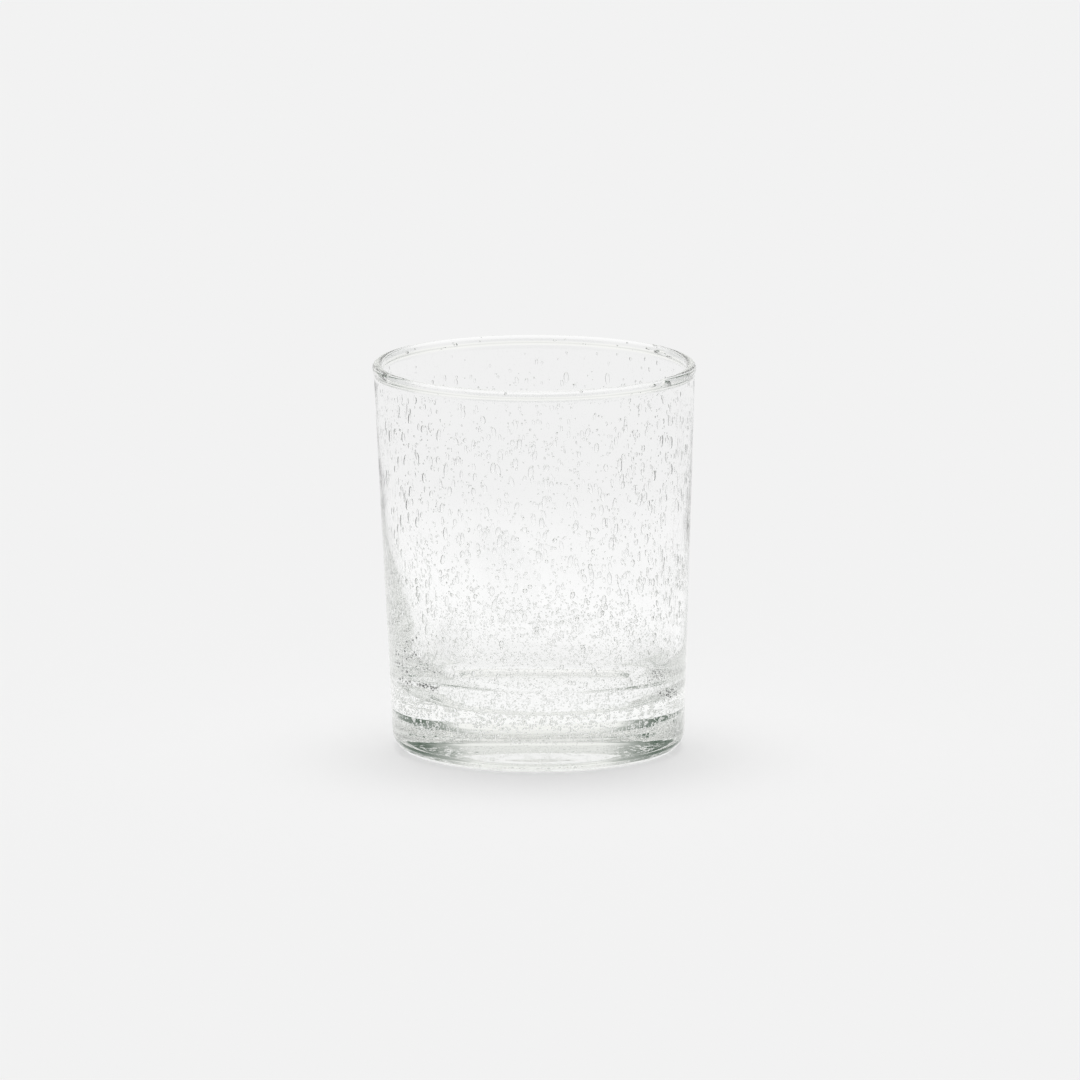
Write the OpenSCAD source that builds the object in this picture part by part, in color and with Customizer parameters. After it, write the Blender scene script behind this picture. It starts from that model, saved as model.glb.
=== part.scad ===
// A tumbler of clear glass with trapped air bubbles, blown in one piece.
// The glass stands on z = 0 with its axis on Z. Lengths are in millimetres.

/* [Body] */
// Height from the table to the top of the rim
glass_h = 96.5; // [80:0.5:120]
// Diameter over the rolled rim, the widest part
rim_d = 80; // [70:0.5:95]
// Diameter that the straight outer wall would have at the table
foot_d = 72; // [64:0.5:78]

/* [Rim] */
// Thickness of the fire-polished rim
rim_t = 2.5; // [2.3:0.1:3.4]
// How far the rim stands out from the wall below it
rim_stand = 0.3; // [0.2:0.05:0.7]

/* [Wall] */
// Wall thickness below the rim
wall_t = 1.9; // [1.4:0.1:2.4]
// Height below which the wall grows thicker
thick_below_h = 55; // [45:1:76]
// Wall thickness where the bowl of the cavity starts
low_wall_t = 4.4; // [3:0.1:9]

/* [Base] */
// Thickness of solid glass in the middle of the base
base_t = 12.8; // [8:0.2:16]
// Radius of the bowl's curve between its floor and the wall
bowl_r = 15.5; // [8:0.5:18]
// Radius of the rounded outer edge of the foot
foot_round_r = 4.8; // [2:0.2:7]
// Width of the flat ring that the glass stands on, inside that rounded edge
stand_ring_w = 3.4; // [1.6:0.2:6]
// Depth of the domed hollow under the base, inside that ring
punt_h = 3.25; // [0.5:0.25:6]

/* [Bubbles] */
// How many of the larger air bubbles the wall holds
bubble_count = 150; // [40:1:150]
// How many more of them the base holds, between its underside and the cavity's floor
base_bubble_count = 60; // [20:1:80]
// Diameter of the smallest of them
bubble_small_d = 0.5; // [0.4:0.05:0.6]
// Diameter of the largest of them
bubble_large_d = 1; // [0.8:0.05:1.1]
// Height of the lowest bubbles in the wall
bubble_low_h = 13; // [11:1:22]
// Distance from the top of the rim to the highest bubbles
bubble_top_gap = 8; // [6:1:20]
// Distance from the foot's widest edge to the outermost bubbles in the base
base_bubble_edge_gap = 3; // [2:0.5:8]

/* [Hidden] */
$fn = 96;
overrun = 1;
// Golden angle, which spreads the bubbles evenly round the wall
turn_a = 137.508;
turn_jitter_a = 20;
bubble_seed = 11;
// More bubbles sit low in the wall than high: the share of height rises with this power
crowd_share = 1.35;
// Where the base's bubbles float, as shares of the way up from its underside to the cavity's floor:
// the foot below them is clear
base_bubble_low_share = 0.68;
base_bubble_high_share = 0.82;
curve_steps = 12;
// How far down its thickening stretch the wall takes its full slope
ease_share = 0.8;

foot_r = foot_d / 2;
rim_r = rim_t / 2;
rim_c = [rim_d / 2 - rim_r, glass_h - rim_r];
wall_top_r = rim_d / 2 - rim_stand;

// Outer radius of the wall at height z, on its straight taper
function outer_r(z) = foot_r + (wall_top_r - foot_r) * z / rim_c.y;

// The corner arc of radius r between a level line at height z and the line from there to point b:
// corner, angle of the line from the level, distance to where the arc starts, and the arc's centre
function line_a(a, b) = atan2(b.y - a.y, b.x - a.x);
function arc_run(a, b, r) = r / tan(90 - line_a(a, b) / 2);
function arc_c(a, b, r) = a + [-arc_run(a, b, r), r];
function arc_end(a, b, r) = a + arc_run(a, b, r) * [cos(line_a(a, b)), sin(line_a(a, b))];

// Outer line of the glass
foot_corner = [foot_r, 0];
wall_end = [wall_top_r, rim_c.y];
foot_c = arc_c(foot_corner, wall_end, foot_round_r);
foot_arc_end = arc_end(foot_corner, wall_end, foot_round_r);

// Inner line: straight down from the rim, then a curve into the sloping lower wall
inner_top = [wall_top_r - wall_t, rim_c.y];
inner_bend = [outer_r(thick_below_h) - wall_t, thick_below_h];
bowl_top_h = base_t + bowl_r;
inner_low = [outer_r(bowl_top_h) - low_wall_t, bowl_top_h];
inner_a = line_a(inner_low, inner_bend);
bowl_corner = inner_low - [bowl_r / tan(inner_a), bowl_r];
bowl_c = arc_c(bowl_corner, inner_bend, bowl_r);
bowl_arc_end = arc_end(bowl_corner, inner_bend, bowl_r);
ease_end = inner_bend + ease_share * (inner_low - inner_bend);
ease_start = inner_bend + ease_share * (inner_top - inner_bend);

// Point at share t of the curve that leaves a for b and arrives at c
function curve(a, b, c, t) = (1 - t) * (1 - t) * a + 2 * t * (1 - t) * b + t * t * c;
inner_curve = [for (i = [0:curve_steps]) curve(ease_start, inner_bend, ease_end, i / curve_steps)];

// Inner radius at height z, on the straight lines that the inner line follows
function inner_r(z) = z > thick_below_h
    ? inner_bend.x + (inner_top.x - inner_bend.x) * (z - inner_bend.y) / (inner_top.y - inner_bend.y)
    : inner_low.x + (inner_bend.x - inner_low.x) * (z - inner_low.y) / (inner_bend.y - inner_low.y);

// Edge of the hollow under the base, and the radius of the ball that shapes it
punt_edge_r = foot_c.x - stand_ring_w;
punt_r = (punt_edge_r * punt_edge_r + punt_h * punt_h) / (2 * punt_h);

// Height of the underside at distance r from the axis
function underside_h(r) = r < punt_edge_r ? punt_h - punt_r + sqrt(punt_r * punt_r - r * r) : 0;

module outer_section() {
    polygon([[0, 0], [foot_c.x, 0], foot_c, foot_arc_end, wall_end, [0, rim_c.y]]);
    translate(foot_c) circle(r = foot_round_r);
}

module cavity_section() {
    polygon(concat(
        [[0, base_t], [bowl_c.x, base_t], bowl_c, bowl_arc_end],
        [for (i = [curve_steps:-1:0]) inner_curve[i]],
        [inner_top, inner_top + [0, overrun], [0, rim_c.y + overrun]]));
    translate(bowl_c) circle(r = bowl_r);
}

module glass_section() {
    difference() {
        outer_section();
        cavity_section();
        translate([0, punt_h - punt_r]) circle(r = punt_r);
    }
    translate(rim_c) circle(r = rim_r);
}

// The larger bubbles, each in the middle of the wall at its own height
module bubbles() {
    jitters = rands(-1, 1, bubble_count, bubble_seed);
    sizes = rands(0, 1, bubble_count, bubble_seed + 1);
    low = bubble_low_h;
    high = glass_h - bubble_top_gap;
    for (i = [0:bubble_count - 1]) {
        up = pow((i + 1) / bubble_count, crowd_share);
        z = low + (high - low) * up;
        d = bubble_small_d + (bubble_large_d - bubble_small_d) * sizes[i] * sizes[i];
        mid_r = (outer_r(z) + inner_r(z)) / 2;
        rotate(i * turn_a + jitters[i] * turn_jitter_a) translate([mid_r, 0, z]) sphere(d = d, $fn = 16);
    }
}

// The base's bubbles, spread evenly over it by the same angle
module base_bubbles() {
    sizes = rands(0, 1, base_bubble_count, bubble_seed + 2);
    floats = rands(base_bubble_low_share, base_bubble_high_share, base_bubble_count, bubble_seed + 3);
    for (i = [0:base_bubble_count - 1]) {
        r = (foot_r - base_bubble_edge_gap) * sqrt((i + 0.5) / base_bubble_count);
        z = underside_h(r) + floats[i] * (base_t - underside_h(r));
        d = bubble_small_d + (bubble_large_d - bubble_small_d) * sizes[i] * sizes[i];
        rotate(i * turn_a) translate([r, 0, z]) sphere(d = d, $fn = 16);
    }
}

module glass_body() {
    color("azure", 0.4) difference() {
        rotate_extrude() glass_section();
        bubbles();
        base_bubbles();
    }
}

glass_body();
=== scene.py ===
# The looks of a mouth-blown tumbler of bubble glass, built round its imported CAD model.
# Lengths are in millimetres up to the last step, which turns them into metres.
import math
from typing import NamedTuple

import bpy
import numpy as np
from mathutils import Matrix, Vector


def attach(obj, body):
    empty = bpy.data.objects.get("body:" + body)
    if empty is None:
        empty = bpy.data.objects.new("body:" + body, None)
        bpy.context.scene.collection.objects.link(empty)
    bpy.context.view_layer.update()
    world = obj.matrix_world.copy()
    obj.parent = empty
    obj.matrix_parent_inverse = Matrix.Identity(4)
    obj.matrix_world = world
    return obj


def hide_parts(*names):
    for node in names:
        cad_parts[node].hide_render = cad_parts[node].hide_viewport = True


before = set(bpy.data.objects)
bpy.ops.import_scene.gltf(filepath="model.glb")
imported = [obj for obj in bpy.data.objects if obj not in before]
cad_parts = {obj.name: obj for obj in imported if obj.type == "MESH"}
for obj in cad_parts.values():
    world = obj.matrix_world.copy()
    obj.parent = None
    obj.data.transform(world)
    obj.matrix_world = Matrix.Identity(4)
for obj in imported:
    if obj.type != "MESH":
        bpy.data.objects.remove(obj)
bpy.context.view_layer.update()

MM = 0.001

# ---- The glass, with the same driving dimensions as the CAD source ----
GLASS_H = 96.5
RIM_D = 80.0
FOOT_D = 72.0
RIM_T = 2.5
RIM_STAND = 0.3
WALL_T = 1.9
THICK_BELOW_H = 55.0
LOW_WALL_T = 4.4
BASE_T = 12.8
BOWL_R = 15.5
FOOT_ROUND_R = 4.8
STAND_RING_W = 3.4
PUNT_H = 3.25
EASE_SHARE = 0.8

# What the maker's hand left: the axis leans to one side, and the cavity sits off the middle
# low down, fully so below the second of these heights and not at all above the first
LEAN = -1.1
CAVITY_SHIFT = 1.5
SHIFT_TOP_H = 55.0
SHIFT_FULL_H = 20.0
# How much rounder the foot's edge is at the back, and sharper at the front, than at the sides
FOOT_ROUND_SWING = 1.2
# Fine rings that the finishing of the foot left on its rounded edge
FOOT_RINGS = 6
FOOT_RING_DEPTH = 0.015

# The wall's straight lines end this share of the rim's radius below the middle of the rim
WALL_END_SHARE = 0.9
# The rolled rim is an arc between these directions from its middle, over its top
RIM_OUTER_A, RIM_TOP_A, RIM_INNER_A = -25, 90, 205

# Steps of the turned mesh, round it and along the runs of its outline
TURN_STEPS = 288
PUNT_STEPS = 24
STAND_RING_STEPS = 8
FOOT_STEPS = 48
WALL_STEPS = 60
RIM_STEPS = 16
STRAIGHT_STEPS = 10
EASE_STEPS = 28
BOWL_STEPS = 24
CAVITY_FLOOR_STEPS = 12

# ---- The view ----
VIEW_DISTANCE = 5000.0
VIEW_ELEVATION = 10.8
PIXELS_PER_MM = 4.045
FRAME_PIXELS = 1080
SENSOR = 36.0
# The point of the axis at this height shows at this pixel
AIM_H = 48.5
AIM_PIXEL = (538.6, 553.6)
# Nearest and farthest distance that the camera shows, in metres
CLIP = (0.1, 100)

# ---- Colours and light ----
GLASS_IOR = 1.52
GLASS_TINT = (0.90, 0.94, 0.86)
GLASS_TINT_DENSITY = 2.2
# The blown wall's slow waves, and the fine turned marks at the foot, between these heights
WAVE_SIZE, WAVE_DEPTH = 9.0, 0.03
MARK_SIZE, MARK_SPREAD, MARK_DEPTH = 1.3, 30.0, 0.03
MARKS_TOP_H, MARKS_FULL_H = 11.0, 9.0
# The marks grow between these distances from the axis, and these to the left and right of it
MARKS_FROM_R = (30.0, 33.0)
MARKS_FROM_SIDE = (14.0, 27.0)
# Unevenness of a bubble's skin
SKIN_SIZE, SKIN_DEPTH = 0.2, 0.002
NOISE_DETAIL = 2
# Share of the light that a bubble with painted shade on its skin lets through, so that it shows
# black with glints, as the dark studio would make it look
PAINTED_SHADE_LEVEL = 0.08
# Tone of the floor and the backdrop
BACKDROP = 0.888
# What glass sees, by degrees from straight behind it: a pale sweep, dark studio at the sides
# and a half-lit room in front. The first run of tones is for level directions, the second for
# those further up
AROUND_LEVEL = (
    (0, 0.92), (22, 0.92), (32, 0.3), (44, 0.04), (74, 0.04),
    (86, 0.6), (120, 0.55), (134, 0.05), (180, 0.05),
)
AROUND_ABOVE = (
    (0, 0.76), (17, 0.76), (29, 0.33), (42, 0.04), (74, 0.04),
    (86, 0.75), (122, 0.85), (142, 0.4), (180, 0.2),
)
# The one changes into the other between these sines of the elevation
LEVEL_EDGE = (0.12, 0.3)
# Light panels stand round the ceiling, between these sines of the elevation, and the ceiling in
# their middle is dimmer
PANEL_EDGE = (0.5, 0.64)
CEILING_EDGE = (0.8, 0.9)
PANEL_LEVEL, CEILING_LEVEL = 1.0, 0.80
# The dark gaps are a little green, as the edge of a pane is
GAP_CAST = (-0.025, 0.02, -0.015)
# What glass sees of the studio is a touch warm
WARMTH = (1.0, 0.998, 0.978)
# What glass sees of the floor, by distance from the axis, painted as emitted tones: a painted
# shadow at the foot, painted light paler outside it, and the backdrop's tone far out
FLOOR_TONES = (
    (0, 0.97), (35, 0.97), (37, 0.90), (50, 0.92), (58, 0.97),
    (90, 0.985), (120, 0.995), (200, 0.94), (300, 0.885), (450, 0.88),
)
# The floor's half width, and how far it lies below the foot
FLOOR_HALF = 10_000.0
FLOOR_DROP = 0.15
# How steeply the light that falls on the floor grows from the horizon to straight above
FROM_ABOVE = 24.0
# Lean of that light's strongest part, from straight above towards the back and the left
LIGHT_LEAN = (-0.02, 0.14)
# Share of the floor's tone that the object's shadow doesn't reach
FLOOR_GLOW = 0.67
# How often light may bounce or pass through glass
GLASS_BOUNCES = 40
OTHER_BOUNCES = 20

# ---- Bubbles ----
SEED = 7
# Glass left between a bubble and the surface
CLEARANCE = 0.12
# The cavity's floor and its sideways shift count from these distances below and above the
# floor's height
FLOOR_BELOW, SHIFT_ABOVE = 0.2, 0.5
# A long bubble keeps others off by this share of half its length, so that a few of them touch
REACH_SHARE = 0.6
# Side of the cells that hold near bubbles together, in reaches of the largest bubble
CELL_REACHES = 2.2
# A bubble's flatness varies from this share of its group's, by up to this span
FLAT_FROM, FLAT_SPAN = 0.7, 0.6
# Bubbles tilt along the wall by this much on average, with this spread
TILT, TILT_SPREAD = 0.06, 0.08


class Group(NamedTuple):
    """A group of bubbles of one kind. A span is a pair of the lowest and the highest value."""

    count: int
    # Span of diameters, and a power that makes large ones rarer
    sizes: tuple
    size_power: float
    # Thickness through the wall and span of heights, as shares of the diameter
    flat: float
    drawn: tuple
    # Rings and sides of each bubble's mesh
    steps: tuple
    # Span of widths along the wall, as shares of the diameter
    wide: tuple = (1, 1)
    # Span of heights above the foot, a power that brings more of them low down, and the share
    # of the base's radius that holds none in its middle
    heights: tuple = ()
    crowd: float = 1.0
    clear_middle: float = 0.0
    # Where they gather: spans of angle round the rim, or spans of angle, radius and height
    spans: tuple = ()


# Close swarms of bubbles whose skins carry painted shade, so that they show black
PAINTED_SHADE_SWARMS = Group(
    130, (0.42, 0.95), 1.2, 0.9, (0.8, 1.1), (8, 12), wide=(1.0, 1.3),
    spans=(
        ((199, 226), (33.2, 35.8), (18.9, 20.0)),
        ((206, 226), (33.2, 35.8), (19.1, 20.1)),
        ((214, 226), (33.2, 35.8), (19.3, 20.3)),
        ((-34, -25), (33.2, 35.8), (16.3, 17.4)),
        ((-30, -16), (33.4, 36.0), (15.0, 17.6)),
        ((195, 208), (33.6, 36.0), (19.0, 30.0)),
    ),
)
STREAKS = Group(
    30, (0.4, 0.78), 1.2, 0.9, (0.8, 1.0), (8, 12), wide=(4.0, 8.0),
    spans=((184, 218), (-44, -20), (24, 42)),
)
RIM = Group(40, (0.25, 0.6), 1.5, 0.9, (0.8, 1.0), (8, 12), wide=(1.0, 2.5), spans=((0, 360),))
# The groups that are scattered in the wall and the base
SCATTERED = {
    "bubbles_top": Group(190, (0.3, 0.75), 1.3, 0.2, (1.2, 2.2), (7, 11), heights=(80, 93)),
    "bubbles_wall": Group(
        900, (0.55, 1.35), 1.4, 0.17, (1.5, 2.8), (8, 12), heights=(34, 87), crowd=1.15
    ),
    "bubbles_low": Group(
        700, (0.5, 1.3), 1.8, 0.4, (1.0, 1.5), (8, 12), heights=(14, 48), crowd=1.1
    ),
    "bubbles_fine": Group(
        2600, (0.25, 0.5), 1.3, 0.45, (1.0, 1.8), (5, 8), heights=(14, 88), crowd=1.3
    ),
    "bubbles_bowl": Group(2500, (0.22, 0.55), 1.4, 0.7, (0.9, 1.3), (5, 8), heights=(13, 30)),
    "bubbles_base": Group(1100, (0.3, 0.9), 1.8, 0.8, (0.9, 1.2), (6, 9), heights=(8.6, 13)),
    "bubbles_edge": Group(
        5000, (0.2, 0.55), 1.6, 0.8, (0.9, 1.3), (4, 6),
        heights=(7.4, 26), crowd=1.5, clear_middle=0.74,
    ),
}

rim_r = RIM_T / 2
rim_h = GLASS_H - rim_r
rim_c = np.array([RIM_D / 2 - rim_r, rim_h])
foot_r = FOOT_D / 2
wall_top_r = RIM_D / 2 - RIM_STAND
taper = (wall_top_r - foot_r) / rim_h
lean_a = math.degrees(math.atan(taper))
wall_end_h = rim_h - WALL_END_SHARE * rim_r


# ---- The glass ----
def outer_r(z):
    """Radius of the outer wall at height z."""
    return foot_r + taper * z


inner_bend = np.array([outer_r(THICK_BELOW_H) - WALL_T, THICK_BELOW_H])
inner_top = np.array([wall_top_r - WALL_T, rim_h])
bowl_top_h = BASE_T + BOWL_R
inner_low = np.array([outer_r(bowl_top_h) - LOW_WALL_T, bowl_top_h])
inner_slope = math.atan2(*(inner_bend - inner_low)[::-1])
bowl_corner_r = inner_low[0] - BOWL_R / math.tan(inner_slope)
bowl_c = np.array([bowl_corner_r - BOWL_R * math.tan(inner_slope / 2), bowl_top_h])
ease_start = inner_bend + EASE_SHARE * (inner_top - inner_bend)
ease_end = inner_bend + EASE_SHARE * (inner_low - inner_bend)


def arc(centre, radius, start, end, steps):
    turn = np.radians(np.linspace(start, end, steps + 1))
    return np.stack([centre[0] + radius * np.cos(turn), centre[1] + radius * np.sin(turn)], 1)


def line(start, end, steps):
    return np.linspace(start, end, steps + 1)


def bend(a, b, c, steps):
    """The curve that leaves a for b and arrives at c."""
    t = np.linspace(0, 1, steps + 1)[:, None]
    return (1 - t) ** 2 * a + 2 * t * (1 - t) * b + t**2 * c


def joined(*runs):
    """One line of points from runs that meet end to end."""
    return np.concatenate([runs[0], *[run[1:] for run in runs[1:]]])


def foot_run(round_r):
    """How far in from the foot's full radius its rounded edge starts."""
    return round_r * math.tan(math.radians((90 - lean_a) / 2))


punt_edge_r = foot_r - foot_run(FOOT_ROUND_R) - STAND_RING_W


def outer_line(round_r):
    """Radius and height from the middle of the underside to the top of the rim."""
    punt_r = (punt_edge_r**2 + PUNT_H**2) / (2 * PUNT_H)
    r = np.linspace(0, punt_edge_r, PUNT_STEPS + 1)
    punt = np.stack([r, PUNT_H - punt_r + np.sqrt(punt_r**2 - r**2)], 1)
    foot_c = np.array([foot_r - foot_run(round_r), round_r])
    foot = arc(foot_c, round_r, -90, -lean_a, FOOT_STEPS)
    share = np.linspace(0, 1, FOOT_STEPS + 1)
    swell = FOOT_RING_DEPTH * np.sin(2 * math.pi * FOOT_RINGS * share) * np.sin(math.pi * share)
    foot = foot + swell[:, None] * (foot - foot_c) / round_r
    wall = line(foot[-1], np.array([outer_r(wall_end_h), wall_end_h]), WALL_STEPS)
    rim = arc(rim_c, rim_r, RIM_OUTER_A, RIM_TOP_A, RIM_STEPS)
    stand_ring = line(punt[-1], foot[0], STAND_RING_STEPS)
    return joined(punt, stand_ring, foot, wall, np.vstack([wall[-1], rim]))


def inner_line():
    """Radius and height from the top of the rim down to the middle of the cavity's floor."""
    rim = arc(rim_c, rim_r, RIM_TOP_A, RIM_INNER_A, RIM_STEPS)
    wall_start = np.array([wall_top_r - WALL_T, wall_end_h])
    bowl = arc(bowl_c, BOWL_R, math.degrees(inner_slope) - 90, -90, BOWL_STEPS)
    return joined(
        rim,
        np.vstack([rim[-1], wall_start]),
        line(wall_start, ease_start, STRAIGHT_STEPS),
        bend(ease_start, inner_bend, ease_end, EASE_STEPS),
        line(ease_end, bowl[0], STRAIGHT_STEPS),
        bowl,
        line(bowl[-1], np.array([0, BASE_T]), CAVITY_FLOOR_STEPS),
    )


inside = inner_line()


def inner_r(z):
    """Radius of the cavity at height z."""
    low_first = inside[::-1]
    return np.interp(z, low_first[:, 1], low_first[:, 0])


def smooth(t):
    t = np.clip(t, 0, 1)
    return t * t * (3 - 2 * t)


def lean_x(z):
    """How far the axis lies to one side at height z."""
    return LEAN * np.asarray(z) / GLASS_H


def cavity_x(z):
    """How far the cavity's own middle lies to one side of the outer wall's at height z."""
    return CAVITY_SHIFT * smooth((SHIFT_TOP_H - np.asarray(z)) / (SHIFT_TOP_H - SHIFT_FULL_H))


def placed_round(r, a, z):
    """Points at distances r and angles a round the leaning axis, at heights z."""
    return np.stack([r * np.cos(a) + lean_x(z), r * np.sin(a), z], 1)


def make_piece(name, points, faces, material):
    """A smooth mesh piece, from points in millimetres."""
    mesh = bpy.data.meshes.new(name)
    mesh.from_pydata((points * MM).tolist(), [], faces)
    mesh.polygons.foreach_set("use_smooth", [True] * len(mesh.polygons))
    mesh.materials.append(material)
    mesh.update()
    piece = bpy.data.objects.new(name, mesh)
    bpy.context.scene.collection.objects.link(piece)
    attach(piece, "root")
    return piece


def turned_mesh():
    """The glass as one closed mesh: every point of its outline turned round the axis."""
    turn = np.linspace(0, 2 * math.pi, TURN_STEPS, endpoint=False)
    outlines = np.array([
        np.concatenate([outer_line(FOOT_ROUND_R + FOOT_ROUND_SWING * math.sin(a)), inside[1:]])
        for a in turn
    ])
    inner_from = outlines.shape[1] - len(inside) + 1
    last = outlines.shape[1] - 1
    rings, points, count = [], [], 0
    for i in range(last + 1):
        r, z = outlines[:, i].T
        a = turn
        if i in (0, last):
            r, z, a = r[:1], z[:1], a[:1]
        side = lean_x(z) + (cavity_x(z) if i >= inner_from else 0)
        points.append(np.stack([r * np.cos(a) + side, r * np.sin(a), z], 1))
        rings.append(range(count, count + len(a)))
        count += len(a)
    faces = []
    for a, b in zip(rings, rings[1:]):
        for s in range(TURN_STEPS):
            t = (s + 1) % TURN_STEPS
            if len(a) == 1:
                faces.append((a[0], b[t], b[s]))
            elif len(b) == 1:
                faces.append((a[s], a[t], b[0]))
            else:
                faces.append((a[s], a[t], b[t], b[s]))
    return np.concatenate(points), faces


# ---- The bubbles' meshes and places ----
def unit_ball(rings, sides):
    """Points and faces of a ball of radius 1 whose faces look inwards, as a hollow's do."""
    points = [(0, 0, -1)]
    for i in range(1, rings):
        a = math.pi * i / rings
        for s in range(sides):
            b = 2 * math.pi * s / sides
            points.append((math.sin(a) * math.cos(b), math.sin(a) * math.sin(b), -math.cos(a)))
    points.append((0, 0, 1))
    top = len(points) - 1
    faces = []
    for s in range(sides):
        t = (s + 1) % sides
        faces.append((0, 1 + s, 1 + t))
        for i in range(rings - 2):
            low, high = 1 + i * sides, 1 + (i + 1) * sides
            faces.append((low + s, high + s, high + t))
            faces.append((low + s, high + t, low + t))
        low = 1 + (rings - 2) * sides
        faces.append((low + s, top, low + t))
    return np.array(points, float), np.array(faces)


def bubble_mesh(centres, radii, flat, wide, drawn, tilt, steps):
    """Balls pressed flat in the wall, drawn out upwards and tilted a little along it."""
    ball, ball_faces = unit_ball(*steps)
    through, along, up = (
        ball[None, :, i] * (radii * share)[:, None] for i, share in enumerate((flat, wide, drawn))
    )
    along = along + tilt[:, None] * up
    turn = np.arctan2(centres[:, 1], centres[:, 0])[:, None]
    c, s = np.cos(turn), np.sin(turn)
    shape = np.stack([through * c - along * s, through * s + along * c, up + taper * through], 2)
    points = (shape + centres[:, None]).reshape(-1, 3)
    firsts = np.arange(len(centres))[:, None, None] * len(ball)
    faces = (ball_faces[None] + firsts).reshape(-1, 3)
    return points, faces.tolist()


def apart(centres, reach):
    """Which of the balls to keep so that none touches one kept before it."""
    cell = CELL_REACHES * reach.max()
    grid, keep = {}, []
    keys = np.floor(centres / cell).astype(int)
    for i, (key, c, r) in enumerate(zip(map(tuple, keys), centres, reach)):
        near = [
            j
            for dx in (-1, 0, 1) for dy in (-1, 0, 1) for dz in (-1, 0, 1)
            for j in grid.get((key[0] + dx, key[1] + dy, key[2] + dz), ())
        ]
        if all(np.sum((centres[j] - c) ** 2) > (r + reach[j]) ** 2 for j in near):
            grid.setdefault(key, []).append(i)
            keep.append(i)
    return np.array(keep, int)


def random_sizes(rng, group):
    small, large = group.sizes
    return small + (large - small) * rng.random(group.count) ** group.size_power


def scattered(rng, group):
    """Places and sizes of bubbles in the glass between two heights."""
    low, high = group.heights
    z = low + (high - low) * rng.random(group.count) ** group.crowd
    size = random_sizes(rng, group)
    a = rng.random(group.count) * 2 * math.pi
    reach = size / 2 + CLEARANCE
    side = np.where(z > BASE_T + SHIFT_ABOVE, cavity_x(z), 0)
    # The inner surface lies at this distance from the outer wall's middle in the bubble's direction
    near = np.where(z > BASE_T - FLOOR_BELOW, inner_r(z), 0)
    inner = side * np.cos(a) + np.sqrt(np.maximum(near**2 - (side * np.sin(a)) ** 2, 0))
    in_base = z < BASE_T - reach
    inner = np.where(in_base, 0, inner + reach)
    outer = outer_r(z) - reach
    share = rng.random(group.count)
    clear = group.clear_middle
    base_r = outer * np.sqrt(clear**2 + (1 - clear**2) * share)
    r = np.where(in_base, base_r, inner + (outer - inner) * share)
    # This leaves out the cavity's shift, so that a few small ones break the surface at the edge
    # of its floor, by 0.2 mm at most
    clears_bowl = r > inner_r(np.maximum(z + reach, BASE_T)) + reach
    fits = (outer > inner) & (in_base | (z > BASE_T + reach) | clears_bowl)
    return placed_round(r, a, z)[fits], size[fits]


def within(rng, spans, which):
    """One random value in each named span of (from, to) pairs."""
    low, high = np.array(spans)[which].T
    return low + (high - low) * rng.random(len(which))


def in_rim(rng, group):
    """Places and sizes of bubbles in the rolled rim, between pairs of angles round it."""
    size = random_sizes(rng, group)
    turn = 2 * math.pi * rng.random(group.count)
    a = np.radians(within(rng, group.spans, np.arange(group.count) % len(group.spans)))
    away = (rim_r - CLEARANCE - size / 2) * np.sqrt(rng.random(group.count))
    r, z = rim_c[0] + away * np.cos(turn), rim_c[1] + away * np.sin(turn)
    return placed_round(r, a, z), size


def in_swarms(rng, group):
    """Places and sizes of bubbles in close swarms, by spans of angle, radius and height."""
    size = random_sizes(rng, group)
    which = rng.integers(len(group.spans), size=group.count)
    a, r, z = (within(rng, [swarm[i] for swarm in group.spans], which) for i in range(3))
    return placed_round(r, np.radians(a), z), size


class Bubbles:
    """The bubbles laid so far, and how far each keeps the others off."""

    def __init__(self, seed):
        self.rng = np.random.default_rng(seed)
        self.centres, self.reaches = np.zeros((0, 3)), np.zeros(0)

    def lay(self, name, skin, group, places):
        """Makes a piece of a group's bubbles, but for those too near one laid before."""
        rng = self.rng
        centres, size = places(rng, group)
        count, before = len(centres), len(self.centres)
        wide, drawn = (
            low + (high - low) * rng.random(count) for low, high in (group.wide, group.drawn)
        )
        reach = size / 2 * np.maximum(1, REACH_SHARE * np.maximum(drawn, wide))
        all_centres = np.concatenate([self.centres, centres])
        all_reaches = np.concatenate([self.reaches, reach])
        keep = apart(all_centres, all_reaches)
        self.centres, self.reaches = all_centres[keep], all_reaches[keep]
        keep = keep[keep >= before] - before
        flat = group.flat * (FLAT_FROM + FLAT_SPAN * rng.random(count))
        tilt = TILT + rng.normal(0, TILT_SPREAD, count)
        shape = (centres, size / 2, flat, wide, drawn, tilt)
        make_piece(name, *bubble_mesh(*(values[keep] for values in shape), group.steps), skin)


# ---- Materials ----
def node_of(tree, kind, **settings):
    node = tree.nodes.new(kind)
    for key, value in settings.items():
        setattr(node, key, value)
    return node


def feed(tree, node, socket, value):
    """Sets a socket to a number, or links an output to it."""
    if isinstance(value, (int, float)):
        node.inputs[socket].default_value = value
    else:
        tree.links.new(value, node.inputs[socket])


def math_node(tree, operation, *values):
    node = node_of(tree, "ShaderNodeMath", operation=operation)
    for i, value in enumerate(values):
        feed(tree, node, i, value)
    return node.outputs[0]


def vector_math(tree, operation, vector, other):
    node = node_of(tree, "ShaderNodeVectorMath", operation=operation)
    tree.links.new(vector, node.inputs[0])
    node.inputs[1].default_value = other
    return node


def ramp(tree, value, start, end, low, high):
    """A smooth step from low to high as value goes from start to end."""
    node = node_of(tree, "ShaderNodeMapRange", interpolation_type="SMOOTHSTEP")
    sockets = ("Value", "From Min", "From Max", "To Min", "To Max")
    for socket, v in zip(sockets, (value, start, end, low, high)):
        feed(tree, node, socket, v)
    return node.outputs[0]


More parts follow.
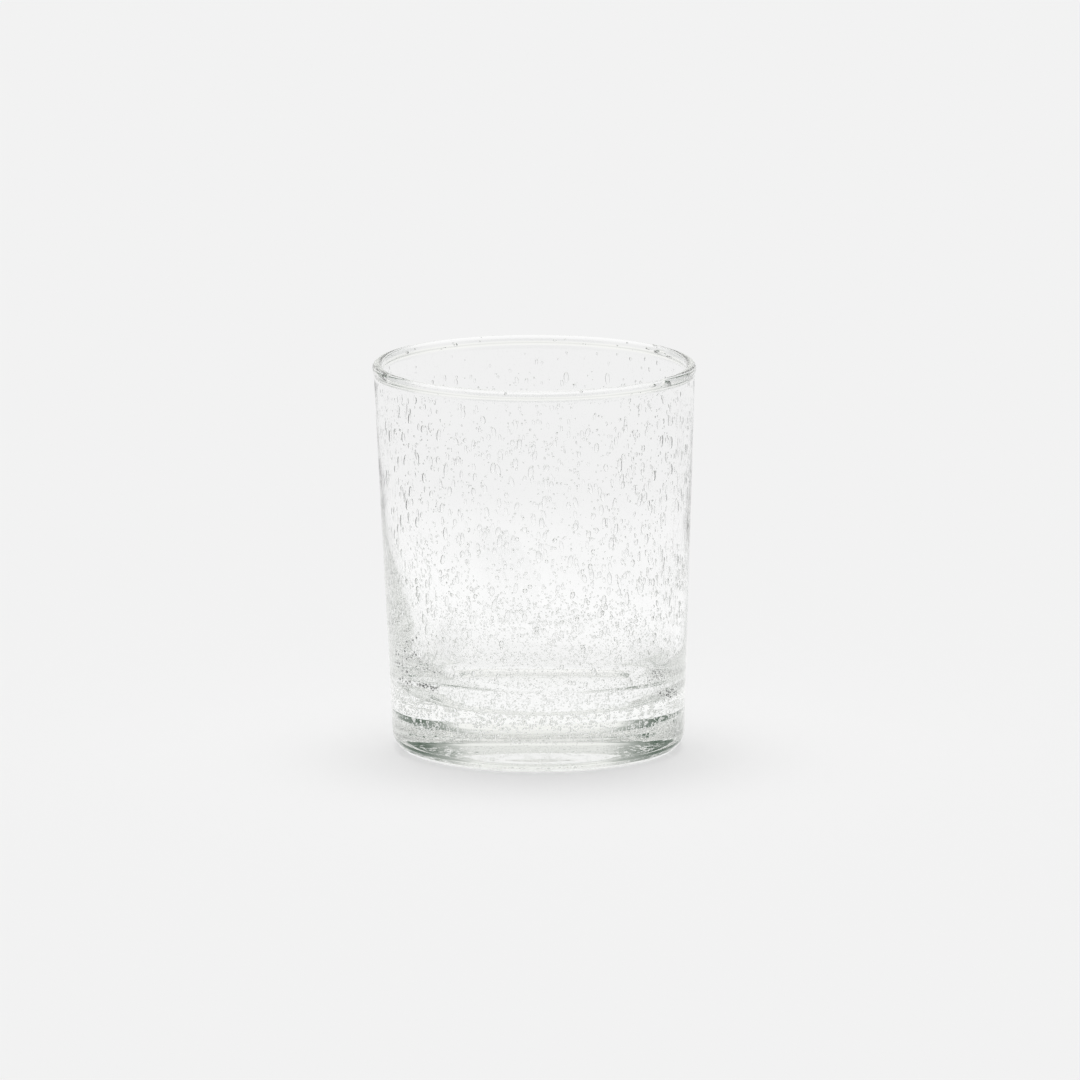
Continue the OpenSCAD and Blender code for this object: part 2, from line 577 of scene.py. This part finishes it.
def tones(tree, value, stops, cast=(0, 0, 0)):
    """Grey tones along value, from (place, tone) pairs. The darker, the more of the cast."""
    reach = stops[-1][0]
    node = tree.nodes.new("ShaderNodeValToRGB")
    node.color_ramp.interpolation = "EASE"
    ends = node.color_ramp.elements
    for i, (place, tone) in enumerate(stops):
        stop = ends[0] if i == 0 else ends[-1] if i == len(stops) - 1 else ends.new(place / reach)
        stop.position = place / reach
        stop.color = (*(tone + (1 - tone) * share for share in cast), 1)
    feed(tree, node, "Fac", math_node(tree, "DIVIDE", value, reach))
    return node.outputs["Color"]


def mixed(tree, share, first, second):
    """A colour between two, each an output or a plain colour."""
    node = node_of(tree, "ShaderNodeMix", data_type="RGBA")
    sockets = {socket.identifier: socket for socket in node.inputs}
    for name, value in (("Factor_Float", share), ("A_Color", first), ("B_Color", second)):
        if isinstance(value, tuple):
            sockets[name].default_value = (*value, 1)
        else:
            tree.links.new(value, sockets[name])
    return next(socket for socket in node.outputs if socket.identifier == "Result_Color")


def noise(tree, where, size, spread):
    """Smooth noise with features of the given height in millimetres, and spread times as wide."""
    across = 1 / (size * spread * MM)
    scaled = vector_math(tree, "MULTIPLY", where, (across, across, 1 / (size * MM)))
    texture = tree.nodes.new("ShaderNodeTexNoise")
    texture.inputs["Scale"].default_value = 1
    texture.inputs["Detail"].default_value = NOISE_DETAIL
    tree.links.new(scaled.outputs[0], texture.inputs["Vector"])
    return texture.outputs[0]


def wall_relief(tree, where):
    """Height of the blown wall's slow waves and the fine turned marks at the foot."""
    place = node_of(tree, "ShaderNodeSeparateXYZ")
    tree.links.new(where, place.inputs[0])
    x, y, z = place.outputs
    squares = (math_node(tree, "MULTIPLY", v, v) for v in (x, y))
    away = math_node(tree, "SQRT", math_node(tree, "ADD", *squares))
    at_foot = ramp(tree, z, MARKS_TOP_H * MM, MARKS_FULL_H * MM, 0, MARK_DEPTH * MM)
    aside = math_node(tree, "ABSOLUTE", x)
    for value, (start, end) in ((away, MARKS_FROM_R), (aside, MARKS_FROM_SIDE)):
        grown = ramp(tree, value, start * MM, end * MM, 0, 1)
        at_foot = math_node(tree, "MULTIPLY", at_foot, grown)
    waves = math_node(tree, "MULTIPLY", noise(tree, where, WAVE_SIZE, 1), WAVE_DEPTH * MM)
    marks = math_node(tree, "MULTIPLY", noise(tree, where, MARK_SIZE, MARK_SPREAD), at_foot)
    return math_node(tree, "ADD", waves, marks)


def glass_material(name, tinted, let_through=1.0):
    """Clear glass. The solid glass takes its faint green from its depth, and a hollow has none."""
    material = bpy.data.materials.new(name)
    material.use_nodes = True
    tree = material.node_tree
    shader = tree.nodes["Principled BSDF"]
    # A let_through below 1 paints shade into the skin: less light passes through it
    shader.inputs["Base Color"].default_value = (let_through, let_through, let_through, 1)
    shader.inputs["Transmission Weight"].default_value = 1
    shader.inputs["IOR"].default_value = GLASS_IOR
    shader.inputs["Roughness"].default_value = 0
    where = tree.nodes.new("ShaderNodeTexCoord").outputs["Object"]
    if tinted:
        depth = tree.nodes.new("ShaderNodeVolumeAbsorption")
        depth.inputs["Color"].default_value = (*GLASS_TINT, 1)
        depth.inputs["Density"].default_value = GLASS_TINT_DENSITY
        tree.links.new(depth.outputs["Volume"], tree.nodes["Material Output"].inputs["Volume"])
        relief = wall_relief(tree, where)
    else:
        relief = math_node(tree, "MULTIPLY", noise(tree, where, SKIN_SIZE, 1), SKIN_DEPTH * MM)
    bump = node_of(tree, "ShaderNodeBump")
    feed(tree, bump, "Height", relief)
    feed(tree, bump, "Distance", 1.0)
    tree.links.new(bump.outputs["Normal"], shader.inputs["Normal"])
    return material


# ---- The studio ----
def seen_plainly(tree):
    """1 for rays from the camera, and 1 for those that glass reflects or lets through."""
    path = tree.nodes.new("ShaderNodeLightPath")
    ways = (path.outputs["Is Glossy Ray"], path.outputs["Is Transmission Ray"])
    return path.outputs["Is Camera Ray"], math_node(tree, "MAXIMUM", *ways)


def studio_world():
    """A pale studio. The camera sees one even tone, and glass sees the studio's gaps and lights."""
    world = bpy.data.worlds.new("studio")
    world.use_nodes = True
    bpy.context.scene.world = world
    tree = world.node_tree
    direction = tree.nodes.new("ShaderNodeTexCoord").outputs["Generated"]
    split = tree.nodes.new("ShaderNodeSeparateXYZ")
    tree.links.new(direction, split.inputs[0])
    x, y, z = split.outputs
    side = math_node(tree, "ARCTAN2", math_node(tree, "ABSOLUTE", x), y)
    side_a = math_node(tree, "MULTIPLY", side, 180 / math.pi)
    overhead = ramp(tree, z, *PANEL_EDGE, 0, 1)
    ceiling = ramp(tree, z, *CEILING_EDGE, PANEL_LEVEL, CEILING_LEVEL)
    level, above = (tones(tree, side_a, run, GAP_CAST) for run in (AROUND_LEVEL, AROUND_ABOVE))
    around = mixed(tree, ramp(tree, z, *LEVEL_EDGE, 0, 1), level, above)
    in_glass = mixed(tree, overhead, around, ceiling)
    warm = vector_math(tree, "MULTIPLY", in_glass, WARMTH)
    # Light on the floor falls mostly from above, so that the shadow stays close to the foot
    axis = Vector((*LIGHT_LEAN, 1)).normalized()
    facing = vector_math(tree, "DOT_PRODUCT", direction, axis)
    lit_side = math_node(tree, "MAXIMUM", facing.outputs["Value"], 0.0)
    up = math_node(tree, "POWER", lit_side, FROM_ABOVE)
    fall = math_node(tree, "MULTIPLY", up, (FROM_ABOVE + 2) / 2 / axis.z)
    from_camera, through_glass = seen_plainly(tree)
    lit = mixed(tree, through_glass, fall, warm.outputs[0])
    seen = mixed(tree, from_camera, lit, (BACKDROP,) * 3)
    tree.links.new(seen, tree.nodes["Background"].inputs["Color"])


def floor_plane():
    """A wide pale floor that keeps the object's shadow, a hair below the foot."""
    half, z = FLOOR_HALF, -FLOOR_DROP
    corners = np.array([(-half, -half, z), (half, -half, z), (half, half, z), (-half, half, z)])
    mesh = bpy.data.meshes.new("floor")
    mesh.from_pydata((corners * MM).tolist(), [], [(0, 1, 2, 3)])
    floor = bpy.data.objects.new("floor", mesh)
    bpy.context.scene.collection.objects.link(floor)
    material = bpy.data.materials.new("floor")
    material.use_nodes = True
    tree = material.node_tree
    tree.nodes.remove(tree.nodes["Principled BSDF"])
    diffuse, glow = (tree.nodes.new(k) for k in ("ShaderNodeBsdfDiffuse", "ShaderNodeEmission"))
    for shader in (diffuse, glow):
        shader.inputs["Color"].default_value = (BACKDROP, BACKDROP, BACKDROP, 1)
    shaded = tree.nodes.new("ShaderNodeMixShader")
    shaded.inputs[0].default_value = FLOOR_GLOW
    tree.links.new(diffuse.outputs[0], shaded.inputs[1])
    tree.links.new(glow.outputs[0], shaded.inputs[2])
    # Glass sees the floor's tones, with their painted shadow and painted light, without noise, by
    # distance from the axis
    where = tree.nodes.new("ShaderNodeTexCoord")
    away = node_of(tree, "ShaderNodeVectorMath", operation="LENGTH")
    tree.links.new(where.outputs["Object"], away.inputs[0])
    away_mm = math_node(tree, "DIVIDE", away.outputs["Value"], MM)
    plain = tree.nodes.new("ShaderNodeEmission")
    tree.links.new(tones(tree, away_mm, FLOOR_TONES), plain.inputs["Color"])
    _, through_glass = seen_plainly(tree)
    mix = tree.nodes.new("ShaderNodeMixShader")
    tree.links.new(through_glass, mix.inputs[0])
    tree.links.new(shaded.outputs[0], mix.inputs[1])
    tree.links.new(plain.outputs[0], mix.inputs[2])
    tree.links.new(mix.outputs[0], tree.nodes["Material Output"].inputs["Surface"])
    mesh.materials.append(material)


def photo_camera():
    """A long lens from the front, a little above, with the aim point at its pixel."""
    data = bpy.data.cameras.new("camera")
    camera = bpy.data.objects.new("camera", data)
    bpy.context.scene.collection.objects.link(camera)
    lens_pixels = PIXELS_PER_MM * VIEW_DISTANCE
    data.sensor_width = SENSOR
    data.lens = lens_pixels / FRAME_PIXELS * SENSOR
    data.clip_start, data.clip_end = CLIP
    tilt = math.radians(VIEW_ELEVATION)
    forward = Vector((0, math.cos(tilt), -math.sin(tilt)))
    up = Vector((0, math.sin(tilt), math.cos(tilt)))
    right = Vector((1, 0, 0))
    middle = FRAME_PIXELS / 2
    pixel = VIEW_DISTANCE / lens_pixels
    place = Vector((0, 0, AIM_H)) - forward * VIEW_DISTANCE
    place += (right * (middle - AIM_PIXEL[0]) + up * (AIM_PIXEL[1] - middle)) * pixel
    camera.location = place * MM
    camera.rotation_euler = forward.to_track_quat("-Z", "Y").to_euler()
    bpy.context.scene.camera = camera


photo_camera()
studio_world()
floor_plane()

clear_glass = glass_material("clear_glass", tinted=True)
bubble_skin = glass_material("bubble_skin", tinted=False)
# A bubble skin with painted shade, standing in for the dark studio seen in those bubbles
painted_shade_skin = glass_material("painted_shade_skin", tinted=False, let_through=PAINTED_SHADE_LEVEL)
glass = make_piece("glass", *turned_mesh(), clear_glass)
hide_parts("glass_body")

bubbles = Bubbles(SEED)
# The bubbles darkened with painted shade, in their swarms
bubbles.lay("bubbles_painted_shade", painted_shade_skin, PAINTED_SHADE_SWARMS, in_swarms)
bubbles.lay("bubbles_streaks", bubble_skin, STREAKS, in_rim)
bubbles.lay("bubbles_rim", bubble_skin, RIM, in_rim)
for name, group in SCATTERED.items():
    bubbles.lay(name, bubble_skin, group, scattered)

scene = bpy.context.scene
scene.view_settings.view_transform = "Standard"
scene.cycles.max_bounces = GLASS_BOUNCES
scene.cycles.transmission_bounces = GLASS_BOUNCES
scene.cycles.glossy_bounces = OTHER_BOUNCES
scene.cycles.transparent_max_bounces = OTHER_BOUNCES
